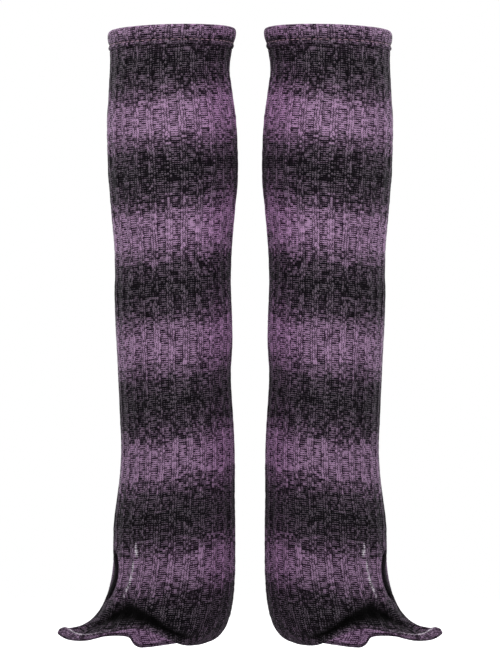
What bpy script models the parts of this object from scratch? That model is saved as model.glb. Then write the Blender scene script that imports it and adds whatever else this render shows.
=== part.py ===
"""A pair of over-the-knee leg warmers in wide-ribbed knit, filled out as when worn, open at thigh and foot.

Each leg warmer is three sewn pieces: the ribbed leg tube, the turned elastic casing at its top and the narrow
turned hem round its foot opening. The foot end flares forward into a point over the instep and rounds in under
the heel. Lengths are metres and +Z is up. The origin lies midway between the two casings, where the legs hold
them. X runs from leg to leg, the points of the feet lie outwards, and -Y is the side that faces the viewer.

A place on the cloth is given by two numbers. The angle runs round the leg: 0 at the front edge, where the foot
point is, 90 on the near side, 180 at the heel and 270 on the far side. The drop is the distance below the origin.
"""
import math

import bpy
from mathutils import Vector

MM = 0.001

# Cloth
WALL = 2.0 * MM
RIB_COUNT = 25
RIB_RISE = 1.1 * MM
RIB_TWIST = math.radians(-4.0)
RIB_TWIST_DROP = 360 * MM
SEAM_GAP = 0.3 * MM
HEM_GAP = 0.7 * MM
OUTSIDE = WALL / 2 + RIB_RISE

# Leg: the outline's distances from the pair's centre line, and half the depth from near side to far side
LEG_COLUMNS = ("drop", "front", "back", "depth")
LEG_SECTIONS = (
    (-20, 167.4, 16.8, 63),
    (-4, 167.4, 18.4, 63),
    (16, 166.8, 21.4, 63),
    (36, 166.6, 24.0, 63),
    (63, 168.2, 21.2, 63),
    (106, 170.2, 15.7, 64),
    (163, 168.6, 13.9, 64),
    (206, 165.2, 17.5, 63),
    (249, 161.6, 21.2, 62),
    (285, 160.4, 22.6, 61),
    (306, 161.2, 22.0, 61),
    (363, 158.9, 20.6, 60),
    (399, 157.1, 22.8, 59),
    (449, 154.9, 20.2, 58),
    (487, 153.3, 17.9, 58),
    (527, 155.3, 17.9, 58),
    (570, 161.2, 17.7, 59),
    (606, 162.6, 17.1, 59),
)
ANKLE_DROP = 606 * MM
LEG_RINGS = 13
RIM_TILT = 4.2 * MM
RIM_TILT_FADE = 100 * MM

# Foot opening: where each column of knit ends, how long it first runs straight on down, and which way it ends
HEM_COLUMNS = ("angle", "out", "near", "drop", "plunge", "flare", "fall")
HEM_POINTS = (
    (0, 229.0, 0, 709.0, 214, 128, -8),
    (4, 225.5, 6, 704.0, 206, 122, -14),
    (9, 218.5, 11, 703.0, 196, 116, -6),
    (15, 209.0, 16, 708.5, 178, 102, 22),
    (22, 197.0, 23, 710.5, 150, 82, 46),
    (38, 172.0, 33, 706.0, 115, 45, 55),
    (56, 148.0, 43, 700.5, 92, 30, 60),
    (68, 133.0, 48, 698.5, 90, 24, 60),
    (80, 116.0, 51, 701.5, 95, 16, 65),
    (97, 94.5, 50, 711.5, 108, -15, 65),
    (114, 78.5, 42, 718.0, 128, -58, 45),
    (140, 63.0, 27, 718.8, 152, -90, 24),
    (180, 54.7, 0, 718.8, 167, -107, 12),
    (220, 61.0, -31, 720.0, 150, -84, 34),
    (262, 94.5, -47, 728.0, 112, -6, 88),
    (288, 131.0, -49, 732.5, 105, 12, 90),
    (297, 140.0, -48, 729.0, 105, 16, 85),
    (305, 147.0, -45, 719.5, 105, 22, 75),
    (322, 172.0, -35, 717.0, 115, 45, 60),
    (340, 200.0, -24, 721.0, 160, 85, 50),
    (350, 218.5, -14, 718.0, 190, 112, 36),
)
FOOT_RINGS = 9
TUBE_RINGS = LEG_RINGS + FOOT_RINGS + 1
FOOT_STEPS = 48
RING_CLOSING = 1.5
HEM_HEIGHT = 3.6 * MM

# Folds: soft troughs (negative) and ridges (positive) that run down the cloth, drifting round as they go
FOLD_COLUMNS = ("angle_top", "angle_end", "width", "top", "end", "rise")
FOLDS = (
    (9, 9, 8, 596, 694, -16.0),
    (350, 348, 9, 500, 716, 1.2),
    (54, 40, 5, 570, 680, 3.6),
    (45, 32, 7, 560, 672, -3.0),
    (62, 56, 24, 640, 716, -9.0),
    (100, 84, 16, 655, 712, -4.5),
    (318, 312, 14, 560, 680, -5.0),
    (296, 304, 11, 590, 690, 3.0),
    (46, 38, 10, 60, 250, -2.0),
    (150, 158, 9, 120, 330, -2.2),
    (236, 228, 10, 90, 300, -2.6),
    (318, 326, 9, 250, 480, -2.4),
    (210, 204, 11, 430, 640, -2.8),
)

# Turned elastic casing: a profile of distance out from the cloth's middle and height above the origin
CASING_POINTS = 48
CASING_PROFILE = (
    (-1.9, -15.4),
    (-1.9, -3.0),
    (-2.2, 6.2),
    (-0.6, 8.2),
    (1.9, 7.6),
    (3.9, 3.2),
    (3.9, -3.6),
    (2.0, -8.8),
    (3.4, -11.6),
    (3.0, -14.4),
    (1.0, -15.5),
)
CASING_FOOT_DROP = 15.5 * MM

# Turned foot hem: a profile of distance out from the cloth's middle and share of the hem's height
HEM_PROFILE = (
    (1.2, 0.0),
    (1.9, 0.5),
    (1.0, 1.0),
    (-1.0, 1.0),
    (-1.2, 0.0),
)
HEM_SHARES = (0.0, 0.5, 1.0)

# Round the tube: three outer points to a rib, and fewer points inside but where the front folds sharply
POINTS_PER_RIB = 3
COLUMN_COUNT = RIB_COUNT * POINTS_PER_RIB
RIB_PHASE = math.radians(-4.8)
FOLDED_REACH = math.radians(48)

KNIT_COLOUR = (0.080, 0.052, 0.086, 1)
CASING_COLOUR = (0.135, 0.088, 0.140, 1)
HEM_COLOUR = (0.160, 0.105, 0.165, 1)
KNIT_ROUGHNESS = 0.92


def clear_scene():
    """Remove what the scene holds."""
    for item in list(bpy.data.objects):
        bpy.data.objects.remove(item, do_unlink=True)


def column(table, names, name):
    """One named column of a table."""
    place = names.index(name)
    return [row[place] for row in table]


def spline(stations, values, at):
    """Value at a station on the smooth curve through the values, with slopes taken from the neighbours."""
    last = len(stations) - 1
    index = max(i for i in range(last) if i == 0 or stations[i] <= at)
    start, end = stations[index], stations[index + 1]
    span = end - start
    before, after = max(index - 1, 0), min(index + 2, last)
    slope_in = (values[index + 1] - values[before]) / (end - stations[before])
    slope_out = (values[after] - values[index]) / (stations[after] - start)
    t = (at - start) / span
    return (values[index] * (2 * t**3 - 3 * t**2 + 1) + slope_in * (span * (t**3 - 2 * t**2 + t))
            + values[index + 1] * (3 * t**2 - 2 * t**3) + slope_out * (span * (t**3 - t**2)))


def round_spline(stations, values, at):
    """The same smooth curve, closed on itself after 360 degrees."""
    turn = 360
    wrapped = [stations[-2] - turn, stations[-1] - turn, *stations, stations[0] + turn, stations[1] + turn]
    repeated = [values[-2], values[-1], *values, values[0], values[1]]
    return spline(wrapped, repeated, at % turn)


def leg_size(name, drop):
    """A size of the leg's outline at a drop."""
    stations = column(LEG_SECTIONS, LEG_COLUMNS, "drop")
    return spline(stations, column(LEG_SECTIONS, LEG_COLUMNS, name), drop / MM) * MM


def twist(drop):
    """How far the ribs have drifted round at a drop."""
    return RIB_TWIST * max(0.0, 1 - drop / RIB_TWIST_DROP)


def leg_point(angle, drop):
    """Point of the cloth's middle on the leg, which is an oval with the photographed outline."""
    fade = max(0.0, 1 - (drop + CASING_FOOT_DROP) / RIM_TILT_FADE)
    level = drop + RIM_TILT * fade * math.cos(angle) / 2
    front, back, depth = (leg_size(name, level) for name in ("front", "back", "depth"))
    middle, half = (front + back) / 2, (front - back) / 2 - OUTSIDE
    return Vector((-(middle + half * math.cos(angle)), -(depth - OUTSIDE) * math.sin(angle), -level))


def hem_value(name, angle):
    """A size of the foot opening at an angle."""
    stations = column(HEM_POINTS, HEM_COLUMNS, "angle")
    return round_spline(stations, column(HEM_POINTS, HEM_COLUMNS, name), math.degrees(angle)) * MM


def foot_path(angle):
    """A column of knit from the ankle to the hem, as points along one smooth curve."""
    start = leg_point(angle, ANKLE_DROP)
    end = Vector((-hem_value("out", angle), -hem_value("near", angle), -hem_value("drop", angle)))
    ankle = Vector((-(leg_size("front", ANKLE_DROP) + leg_size("back", ANKLE_DROP)) / 2, 0, 0))
    away = (Vector((end.x, end.y, 0)) - ankle).normalized()
    leave = Vector((0, 0, -hem_value("plunge", angle)))
    arrive = away * hem_value("flare", angle) + Vector((0, 0, -hem_value("fall", angle)))
    points = []
    for step in range(FOOT_STEPS + 1):
        t = step / FOOT_STEPS
        points.append(start * (2 * t**3 - 3 * t**2 + 1) + leave * (t**3 - 2 * t**2 + t)
                      + end * (3 * t**2 - 2 * t**3) + arrive * (t**3 - t**2))
    return points


def path_length(points):
    """Length of a path."""
    return sum((b - a).length for a, b in zip(points, points[1:]))


def along(points, distance):
    """Point at a distance along a path."""
    for a, b in zip(points, points[1:]):
        step = (b - a).length
        if distance <= step:
            return a.lerp(b, distance / step)
        distance -= step
    return points[-1]


def fold_rise(angle, drop):
    """How far the folds lift the cloth, or sink it where negative."""
    total = 0.0
    for row in FOLDS:
        fold = dict(zip(FOLD_COLUMNS, row))
        share = (drop / MM - fold["top"]) / (fold["end"] - fold["top"])
        if not 0 < share < 1:
            continue
        centre = fold["angle_top"] + (fold["angle_end"] - fold["angle_top"]) * share
        off = (math.degrees(angle) - centre + 180) % 360 - 180
        total += fold["rise"] * MM * math.sin(math.pi * share) ** 0.8 * math.exp(-(off / fold["width"]) ** 2)
    return total


def column_angles():
    """Angles of the columns of points round a tube."""
    return [RIB_PHASE + math.tau * i / COLUMN_COUNT for i in range(COLUMN_COUNT)]


def leg_drops():
    """Drops of the tube's rings on the leg, down to just above the ankle."""
    top = CASING_FOOT_DROP + SEAM_GAP
    return [top + (ANKLE_DROP - top) * i / LEG_RINGS for i in range(LEG_RINGS)]


def foot_distances(length):
    """Distances down a column of knit of the tube's rings, closer towards its end, and of the hem's rings."""
    tube_end = length - HEM_HEIGHT - HEM_GAP
    tube = [tube_end * (1 - (1 - i / FOOT_RINGS) ** RING_CLOSING) for i in range(FOOT_RINGS + 1)]
    return tube + [length - HEM_HEIGHT * (1 - share) for share in HEM_SHARES]


def cloth_middle():
    """The middle surface of tube and foot hem as rings of points, with the folds worked in."""
    angles = column_angles()
    rings = [[leg_point(angle + twist(drop), drop) for angle in angles] for drop in leg_drops()]
    columns = []
    for angle in angles:
        path = foot_path(angle)
        columns.append([along(path, distance) for distance in foot_distances(path_length(path))])
    rings += [list(ring) for ring in zip(*columns)]
    rises = [[fold_rise(angle + twist(-point.z), -point.z) for angle, point in zip(angles, ring)]
             for ring in rings]
    return moved_out(rings, rises)


def outward(rings):
    """Outward unit normal at each point of a tube of rings."""
    normals = []
    for r, ring in enumerate(rings):
        above, below = rings[max(r - 1, 0)], rings[min(r + 1, len(rings) - 1)]
        row = []
        for c in range(len(ring)):
            down = below[c] - above[c]
            across = ring[(c + 1) % len(ring)] - ring[c - 1]
            row.append(down.cross(across).normalized())
        normals.append(row)
    return normals


def moved_out(rings, distances):
    """A tube of rings moved along its outward normals by a distance for each point."""
    normals = outward(rings)
    return [[point + normal * distance for point, normal, distance in zip(*rows)]
            for rows in zip(rings, normals, distances)]


def inner_columns(ring):
    """Columns that the plain inside keeps: all in the foot and where the front folds, else one to a rib."""
    kept = []
    for index, angle in enumerate(column_angles()):
        from_front = abs((angle + math.pi) % math.tau - math.pi)
        if ring >= LEG_RINGS or index % POINTS_PER_RIB == 0 or from_front < FOLDED_REACH / 2:
            kept.append(index)
    return kept


def spans(kept):
    """Each kept column with the next one round, counted on past the last."""
    return zip(kept, kept[1:] + [kept[0] + COLUMN_COUNT])


def mesh_object(name, points, faces, colour, flip):
    """A named object with its own knit material, mirrored to the other leg where asked."""
    used = sorted({index for face in faces for index in face})
    renumbered = {old: new for new, old in enumerate(used)}
    points = [points[index] for index in used]
    faces = [tuple(renumbered[index] for index in face) for face in faces]
    if flip:
        points = [Vector((-point.x, point.y, point.z)) for point in points]
        faces = [tuple(reversed(face)) for face in faces]
    mesh = bpy.data.meshes.new(name)
    mesh.from_pydata(points, [], faces)
    mesh.validate()
    item = bpy.data.objects.new(name, mesh)
    bpy.context.collection.objects.link(item)
    material = bpy.data.materials.new(name)
    material.use_nodes = True
    shader = material.node_tree.nodes["Principled BSDF"]
    shader.inputs["Base Color"].default_value = colour
    shader.inputs["Roughness"].default_value = KNIT_ROUGHNESS
    shader.inputs["Metallic"].default_value = 0.0
    mesh.materials.append(material)
    return item


def make_tube(name, middle, flip):
    """The ribbed leg tube: a wall with ribs raised on its outside over a plain inside."""
    rib = [WALL / 2 + (0.0 if i % POINTS_PER_RIB == 0 else RIB_RISE) for i in range(COLUMN_COUNT)]
    outer = moved_out(middle, [rib] * len(middle))[:TUBE_RINGS]
    inner = moved_out(middle, [[-WALL / 2] * COLUMN_COUNT] * len(middle))[:TUBE_RINGS]
    points = [point for ring in outer + inner for point in ring]
    rings, first_inner = len(outer), len(outer) * COLUMN_COUNT

    def outside(ring, start, end):
        return [ring * COLUMN_COUNT + c % COLUMN_COUNT for c in range(start, end + 1)]

    def inside(ring, start, end):
        kept = [c for c in range(start, end + 1) if c % COLUMN_COUNT in inner_columns(ring)]
        return [first_inner + ring * COLUMN_COUNT + c % COLUMN_COUNT for c in kept]

    faces = []
    for ring in range(rings - 1):
        for c in range(COLUMN_COUNT):
            faces.append(outside(ring + 1, c, c + 1) + outside(ring, c, c + 1)[::-1])
        for start, end in spans(inner_columns(ring)):
            faces.append(inside(ring + 1, start, end)[::-1] + inside(ring, start, end))
    for start, end in spans(inner_columns(0)):
        faces.append(inside(0, start, end)[::-1] + outside(0, start, end))
    for start, end in spans(inner_columns(rings - 1)):
        faces.append(inside(rings - 1, start, end) + outside(rings - 1, start, end)[::-1])
    return mesh_object(name, points, faces, KNIT_COLOUR, flip)


def make_band(name, loops, colour, flip):
    """A closed band through loops of points, each loop one place on the band's profile."""
    count = len(loops[0])
    points = [point for loop in loops for point in loop]
    faces = []
    for row in range(len(loops)):
        after = (row + 1) % len(loops)
        for c in range(count):
            follow = (c + 1) % count
            faces.append((row * count + c, after * count + c, after * count + follow, row * count + follow))
    return mesh_object(name, points, faces, colour, flip)


def make_casing(name, flip):
    """The turned elastic casing: a fat upper roll, a stitched groove and a small lower roll."""
    loops = []
    for out, height in CASING_PROFILE:
        loop = []
        for i in range(CASING_POINTS):
            angle = math.tau * i / CASING_POINTS
            side = Vector((-math.cos(angle), -math.sin(angle), 0))
            loop.append(leg_point(angle, -height * MM) + side * (out * MM))
        loops.append(loop)
    return make_band(name, loops, CASING_COLOUR, flip)


def make_hem(name, middle, flip):
    """The narrow turned hem round the foot opening, on the lowest rings of the cloth."""
    loops = []
    for out, share in HEM_PROFILE:
        moved = moved_out(middle, [[out * MM] * COLUMN_COUNT] * len(middle))
        loops.append(moved[TUBE_RINGS + HEM_SHARES.index(share)])
    return make_band(name, loops, HEM_COLOUR, flip)


def main():
    """Build both leg warmers, the right one as the mirror image of the left one."""
    clear_scene()
    middle = cloth_middle()
    for side, flip in (("left", False), ("right", True)):
        make_casing(f"casing_{side}", flip)
        make_tube(f"leg_tube_{side}", middle, flip)
        make_hem(f"foot_hem_{side}", middle, flip)


main()
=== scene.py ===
"""Looks of a pair of over-the-knee leg warmers in wide-ribbed marl knit, filled out as when worn.

The cloth is worked out for the left leg and mirrored for the right one. A place on it is given by
its rib number round the leg, from 0 at the front edge through the near side and the heel to the
far side, and by its drop below the origin. Its UV map holds the rib number and the course, which
is the distance down the knit in metres.
"""

import logging
import math
from dataclasses import dataclass, field
from enum import Enum
from typing import Callable

import bpy
import numpy as np
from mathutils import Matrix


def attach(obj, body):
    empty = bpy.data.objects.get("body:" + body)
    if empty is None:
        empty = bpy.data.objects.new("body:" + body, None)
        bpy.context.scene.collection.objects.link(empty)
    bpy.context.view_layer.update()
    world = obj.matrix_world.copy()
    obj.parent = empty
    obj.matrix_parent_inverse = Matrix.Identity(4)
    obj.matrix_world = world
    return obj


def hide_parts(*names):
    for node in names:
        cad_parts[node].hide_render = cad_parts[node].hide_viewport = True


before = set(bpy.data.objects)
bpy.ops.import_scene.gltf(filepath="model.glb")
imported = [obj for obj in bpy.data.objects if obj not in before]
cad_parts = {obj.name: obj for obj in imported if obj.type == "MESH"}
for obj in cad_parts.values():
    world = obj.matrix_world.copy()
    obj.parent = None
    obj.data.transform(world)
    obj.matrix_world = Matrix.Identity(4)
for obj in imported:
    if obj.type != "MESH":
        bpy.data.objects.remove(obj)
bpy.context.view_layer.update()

MM = 0.001
BODY = "root"
LOG = logging.getLogger("leg_warmers")
Array = np.ndarray

# The leg's outline, in mm: distances from the pair's centre line, and half the depth
LEG_COLUMNS = ("drop", "front", "back", "depth")
LEG_SECTIONS = (
    (-20, 167.4, 16.8, 63),
    (-4, 167.4, 18.4, 63),
    (16, 166.8, 21.4, 63),
    (36, 166.6, 24.0, 63),
    (63, 168.2, 21.2, 63),
    (106, 170.2, 15.7, 64),
    (163, 168.6, 13.9, 64),
    (206, 165.2, 17.5, 63),
    (249, 161.6, 21.2, 62),
    (285, 160.4, 22.6, 61),
    (306, 161.2, 22.0, 61),
    (363, 158.9, 20.6, 60),
    (399, 157.1, 22.8, 59),
    (449, 154.9, 20.2, 58),
    (487, 153.3, 17.9, 58),
    (527, 155.3, 17.9, 58),
    (570, 161.2, 17.7, 59),
    (606, 162.6, 17.1, 59),
)

# The foot opening, in degrees and mm: where each column of knit ends, how long it first runs
# straight on down, and which way it ends
HEM_COLUMNS = ("angle", "out", "near", "drop", "plunge", "flare", "fall")
HEM_POINTS = (
    (0, 229.0, 0, 709.0, 214, 128, -8),
    (4, 225.5, 6, 704.0, 206, 122, -14),
    (9, 218.5, 11, 703.0, 196, 116, -6),
    (15, 209.0, 16, 708.5, 178, 102, 22),
    (22, 197.0, 23, 710.5, 150, 82, 46),
    (38, 172.0, 33, 706.0, 115, 45, 55),
    (56, 148.0, 43, 700.5, 92, 30, 60),
    (68, 133.0, 48, 698.5, 90, 24, 60),
    (80, 116.0, 51, 701.5, 95, 16, 65),
    (97, 94.5, 50, 711.5, 108, -15, 65),
    (114, 78.5, 42, 718.0, 128, -58, 45),
    (140, 63.0, 27, 718.8, 152, -90, 24),
    (180, 54.7, 0, 718.8, 167, -107, 12),
    (220, 61.0, -31, 720.0, 150, -84, 34),
    (262, 94.5, -47, 728.0, 112, -6, 88),
    (288, 131.0, -49, 732.5, 105, 12, 90),
    (297, 140.0, -48, 729.0, 105, 16, 85),
    (305, 147.0, -45, 719.5, 105, 22, 75),
    (322, 172.0, -35, 717.0, 115, 45, 60),
    (340, 200.0, -24, 721.0, 160, 85, 50),
    (350, 218.5, -14, 718.0, 190, 112, 36),
)

# The creases, in degrees and mm. The last column is painted light: 1 for a painted highlight on the
# crest, and negative for painted shade in a tuck
FOLD_COLUMNS = ("angle_top", "angle_end", "width", "top", "end", "rise", "painted_light")
FOLDS = tuple(dict(zip(FOLD_COLUMNS, row)) for row in (
    (12, 12, 10, 608, 672, -18.0, -1.0),
    (4, 1, 12, 606, 676, 0, -1.5),
    (24, 25, 4, 604, 668, 1.0, 0),
    (350, 348, 9, 500, 716, 1.2, 0),
    (53.6, 49, 2.4, 592, 654, 3.8, 0.8),
    (51.5, 43, 2.0, 637, 678, 3.2, 0.8),
    (53.7, 55.6, 1.5, 600, 624, 1.6, 0.8),
    (47, 36, 6, 572, 682, -3.6, 0),
    (100, 84, 16, 640, 700, -2.5, 0),
    (318, 312, 14, 560, 680, -5.0, 0),
    (296, 304, 11, 590, 690, 3.0, 0),
    (46, 38, 10, 60, 250, -2.0, 0),
    (150, 158, 9, 120, 330, -2.2, 0),
    (236, 228, 10, 90, 300, -2.6, 0),
    (318, 326, 9, 250, 480, -2.4, 0),
    (210, 204, 11, 430, 640, -2.8, 0),
))

# The cloth just above the foot hem: how far up its hollow lies, how wide and deep that is, and how
# strong the painted highlight on the hem's crest is
EDGE_COLUMNS = ("angle", "above", "width", "rise", "painted_light_mark")
EDGES = (
    (0, 16, 8, 0, 0.6),
    (9, 16, 8, 0, 0.9),
    (22, 19, 11, -2.5, 0.8),
    (38, 23, 14, -6.5, 0.45),
    (56, 20, 12, -9.0, 0.1),
    (70, 13, 9, -8.5, 0),
    (90, 9, 7, -7.5, 0),
    (110, 10, 7, -5.0, 0),
    (130, 12, 8, -1.0, 0),
    (150, 12, 8, 0, 0),
    (300, 12, 8, 0, 0.25),
)


class Side(Enum):
    """Which leg a piece belongs to, as seen in the picture."""

    LEFT = "left"
    RIGHT = "right"

    @property
    def mirrored(self) -> bool:
        """Whether the piece is the mirror image of what is worked out."""
        return self is Side.RIGHT


@dataclass(frozen=True)
class KnitGauge:
    """Sizes of the knit, in metres and counts."""

    ribs: int = 25
    wales_per_rib: int = 6
    course: float = 2.55 * MM
    wall: float = 2.0 * MM
    rib_rise: float = 1.1 * MM
    girth: float = 412 * MM

    @property
    def outside(self) -> float:
        """How far the top of a rib stands out from the cloth's middle."""
        return self.wall / 2 + self.rib_rise

    @property
    def radius_mm(self) -> float:
        """The radius of a round tube of this girth, in millimetres."""
        return self.girth / math.tau / MM


GAUGE = KnitGauge()
RIB_STEPS = (0.0, 0.12, 0.2, 0.27, 0.34, 0.44, 0.56, 0.66, 0.73, 0.8, 0.88)


def progress(value: Array, start: float, end: float) -> Array:
    """How far a value has come on its way from start to end, from 0 to 1."""
    return np.clip((value - start) / (end - start), 0, 1)


def run_between(start: Array, leave: Array, end: Array, arrive: Array, t: Array) -> Array:
    """The smooth run between two values with given slopes, read at t from 0 to 1."""
    return (start * (2 * t**3 - 3 * t**2 + 1) + leave * (t**3 - 2 * t**2 + t)
            + end * (3 * t**2 - 2 * t**3) + arrive * (t**3 - t**2))


def smooth_curve(stations: Array, values: Array, at: Array) -> Array:
    """Reads the smooth curve through some values, with slopes taken from the neighbours.

    Args:
        stations: where the values stand, rising.
        values: the values.
        at: where the curve is read.

    Returns:
        The curve's values, in the shape of at.
    """
    last = len(stations) - 1
    index = np.clip(np.searchsorted(stations, at, side="right") - 1, 0, last - 1)
    before, after = np.maximum(index - 1, 0), np.minimum(index + 2, last)
    span = stations[index + 1] - stations[index]
    leave = (values[index + 1] - values[before]) / (stations[index + 1] - stations[before])
    arrive = (values[after] - values[index]) / (stations[after] - stations[index])
    return run_between(values[index], leave * span, values[index + 1], arrive * span,
                       (at - stations[index]) / span)


def round_curve(stations: Array, values: Array, at: Array) -> Array:
    """The same smooth curve, closed on itself after 360 degrees.

    Args:
        stations: angles in degrees, rising from 0.
        values: a value at each.
        at: angles at which the curve is read.

    Returns:
        The curve's values.
    """
    turn = 360.0
    wrapped = np.concatenate([stations[-2:] - turn, stations, stations[:2] + turn])
    repeated = np.concatenate([values[-2:], values, values[:2]])
    return smooth_curve(wrapped, repeated, np.mod(at, turn))


def read(table: tuple, names: tuple, name: str, at: Array, curve: Callable) -> Array:
    """Reads a table's column along a curve, at places given as in its first column."""
    places, *columns = np.array(table, float).T
    return curve(places, columns[names.index(name) - 1], at)


def outward(rings: Array) -> Array:
    """Outward unit normals of a tube of rings.

    Args:
        rings: points in the shape (rings, columns, 3), the rings in order downwards.

    Returns:
        A normal for each point.
    """
    down = np.gradient(rings, axis=0)
    across = np.roll(rings, -1, axis=1) - np.roll(rings, 1, axis=1)
    normal = np.cross(down, across)
    return normal / np.linalg.norm(normal, axis=2, keepdims=True)


@dataclass
class ClothForm:
    """The middle surface of one left leg warmer's cloth, with its creases worked in."""

    ankle_drop: float = 606 * MM
    casing_foot_drop: float = 15.5 * MM
    seam_gap: float = 0.3 * MM
    hem_gap: float = 0.5 * MM
    hem_height: float = 3.6 * MM
    rim_tilt: float = 4.2 * MM
    rim_tilt_fade: float = 100 * MM
    rib_twist: float = math.radians(-4.0)
    rib_twist_drop: float = 360 * MM
    rib_phase: float = math.radians(-4.8)
    course_tilt: float = 5.0 * MM
    foot_tilt: float = 8.0 * MM
    foot_lead: float = 20 * MM
    foot_lead_ends: tuple = (560 * MM, 680 * MM)
    foot_lead_lean: float = 4 * MM
    heel_lead: float = 10 * MM
    heel_reach: tuple = (0.5, 1.0)
    top_lag: float = 6 * MM
    top_lag_ends: tuple = (115 * MM, 55 * MM)
    held_from: float = 700 * MM
    held_rate: float = 0.25
    toe_lead: float = 27 * MM
    toe_ends: tuple = (678 * MM, 698 * MM)
    toe_turn: float = math.radians(32.0)
    far_lag: float = 44 * MM
    far_lag_ends: tuple = (340 * MM, 640 * MM)
    front_turn: tuple = (352.0, 335.0)
    heel_turn: tuple = (180.0, 240.0)
    # Hollow depth for full painted shade; sharpness of the painted shade and highlights of folds
    deepest_hollow: float = 5.0 * MM
    tuck_edge: float = 1.6
    crest_edge: float = 3.0
    crease_tip: float = 0.4
    crease_fullness: float = 0.8
    unevenness: float = 0.22 * MM
    hem_unevenness: float = 0.3
    uneven_seed: int = 11
    foot_steps: int = 96
    leg_rings: int = 170
    foot_rings: int = 56
    folds: tuple = FOLDS

    def angle(self, ribs: Array) -> Array:
        """Angle round the leg of each rib number, before the knit's twist."""
        return self.rib_phase + math.tau * ribs / GAUGE.ribs

    def twist(self, drop: Array) -> Array:
        """How far the ribs have drifted round at each drop."""
        return self.rib_twist * np.maximum(0.0, 1 - drop / self.rib_twist_drop)

    def leg_size(self, name: str, drop: Array) -> Array:
        """A size of the leg's outline at each drop."""
        return read(LEG_SECTIONS, LEG_COLUMNS, name, drop / MM, smooth_curve) * MM

    def leg_points(self, angle: Array, drop: Array) -> Array:
        """Points of the cloth's middle on the leg, an oval with the photographed outline.

        Args:
            angle: angles round the leg.
            drop: drops below the origin, in the same shape.

        Returns:
            The points, with a last axis of three.
        """
        fade = np.maximum(0.0, 1 - (drop + self.casing_foot_drop) / self.rim_tilt_fade)
        level = drop + self.rim_tilt * fade * np.cos(angle) / 2
        front, back, depth = (self.leg_size(name, level) for name in ("front", "back", "depth"))
        half = (front - back) / 2 - GAUGE.outside
        x = -((front + back) / 2 + half * np.cos(angle))
        return np.stack([x, -(depth - GAUGE.outside) * np.sin(angle), -level], axis=-1)

    def hem_value(self, name: str, angle: Array) -> Array:
        """A size of the foot opening at each angle."""
        return read(HEM_POINTS, HEM_COLUMNS, name, np.degrees(angle), round_curve) * MM

    def foot_columns(self, angle: Array, shares: Array) -> tuple[Array, Array, Array]:
        """Columns of knit from the ankle to the hem, each along one smooth curve.

        Args:
            angle: the columns' angles.
            shares: where the rings lie: from 0 at the ankle to 1 at the tube's end, and from 1
                to 2 down the hem.

        Returns:
            The points (rings, columns, 3), the distance of each down its column, and the
            columns' whole lengths.
        """
        start = self.leg_points(angle, np.full_like(angle, self.ankle_drop))
        end = np.stack([-self.hem_value(name, angle) for name in ("out", "near", "drop")], axis=-1)
        ankle = np.array([self.ankle_drop])
        middle = (self.leg_size("front", ankle) + self.leg_size("back", ankle)) / 2
        away = end * (1, 1, 0) + (middle[0], 0, 0)
        away /= np.linalg.norm(away, axis=1, keepdims=True)
        down = np.array((0.0, 0.0, -1.0))
        plunge, flare, fall = (self.hem_value(name, angle)[:, None]
                               for name in ("plunge", "flare", "fall"))
        t = np.linspace(0, 1, self.foot_steps + 1)[:, None, None]
        path = run_between(start, plunge * down, end, away * flare + fall * down, t)
        steps = np.linalg.norm(np.diff(path, axis=0), axis=2)
        travelled = np.vstack([np.zeros(len(angle)), np.cumsum(steps, axis=0)])
        points = np.empty((len(shares), len(angle), 3))
        distances = np.empty((len(shares), len(angle)))
        for c in range(len(angle)):
            length = travelled[-1, c]
            distances[:, c] = [share * (length - self.hem_height - self.hem_gap) if share <= 1
                               else length - self.hem_height * (2 - share) for share in shares]
            for axis in range(3):
                points[:, c, axis] = np.interp(distances[:, c], travelled[:, c], path[:, c, axis])
        return points, distances, travelled[-1]

    def course(self, angle: Array, travelled: Array) -> Array:
        """The knit's course at each distance down the columns. It tilts down to the front."""
        tilt = self.course_tilt + (self.foot_tilt - self.course_tilt) * travelled / self.ankle_drop
        return travelled - tilt * np.cos(angle)

    def toe_share(self, angle: Array, courses: Array) -> Array:
        """How near each place lies to the point of the foot: 1 at the point, 0 in the leg."""
        off = np.mod(angle + math.pi, math.tau) - math.pi
        return progress(courses, *self.toe_ends) * np.exp(-(off / self.toe_turn) ** 2)

    def dye_lead(self, angle: Array, courses: Array, far: Array) -> Array:
        """How far the dye runs ahead of the stitches.

        It lags a little at the top, and runs on at the heel side, in the foot and at its point.

        Args:
            angle: the columns' angles.
            courses: the course of each place.
            far: how much each column's dye runs ahead as on the far side, from 0 to 1.

        Returns:
            The lead of each place, in metres.
        """
        foot = progress(courses - self.foot_lead_lean * np.cos(angle), *self.foot_lead_ends)
        lead = self.foot_lead * foot ** 2
        lead -= (1 - self.held_rate) * np.maximum(0.0, courses + lead - self.held_from)
        lag = progress(courses, *self.far_lag_ends)
        heel = progress(-np.cos(angle), *self.heel_reach)
        lead += self.heel_lead * heel * (1 - lag)
        lead -= self.top_lag * progress(courses, *self.top_lag_ends)
        toe = self.toe_share(angle, courses)
        return lead + self.toe_lead * toe + self.far_lag * lag * far * (1 - toe)

    def crease_share(self, fold: dict, angle: Array, drop: Array, sharp: float = 1.0) -> Array:
        """How strongly one crease acts at each place, from 0 to 1.

        Args:
            fold: the crease's row, by column name.
            angle: angles round the leg.
            drop: drops, in the same shape.
            sharp: how many times narrower than the crease the share is, and more even along it.

        Returns:
            The share at each place.
        """
        along = progress(drop / MM, fold["top"], fold["end"])
        centre = fold["angle_top"] + (fold["angle_end"] - fold["angle_top"]) * along
        off = np.mod(np.degrees(angle) - centre + 180, 360) - 180
        swell = np.sin(math.pi * along)
        width = fold["width"] * (self.crease_tip + (1 - self.crease_tip) * swell)
        height = np.minimum(1.0, sharp * swell ** self.crease_fullness)
        return height * np.exp(-(sharp * off / width) ** 2)

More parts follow.
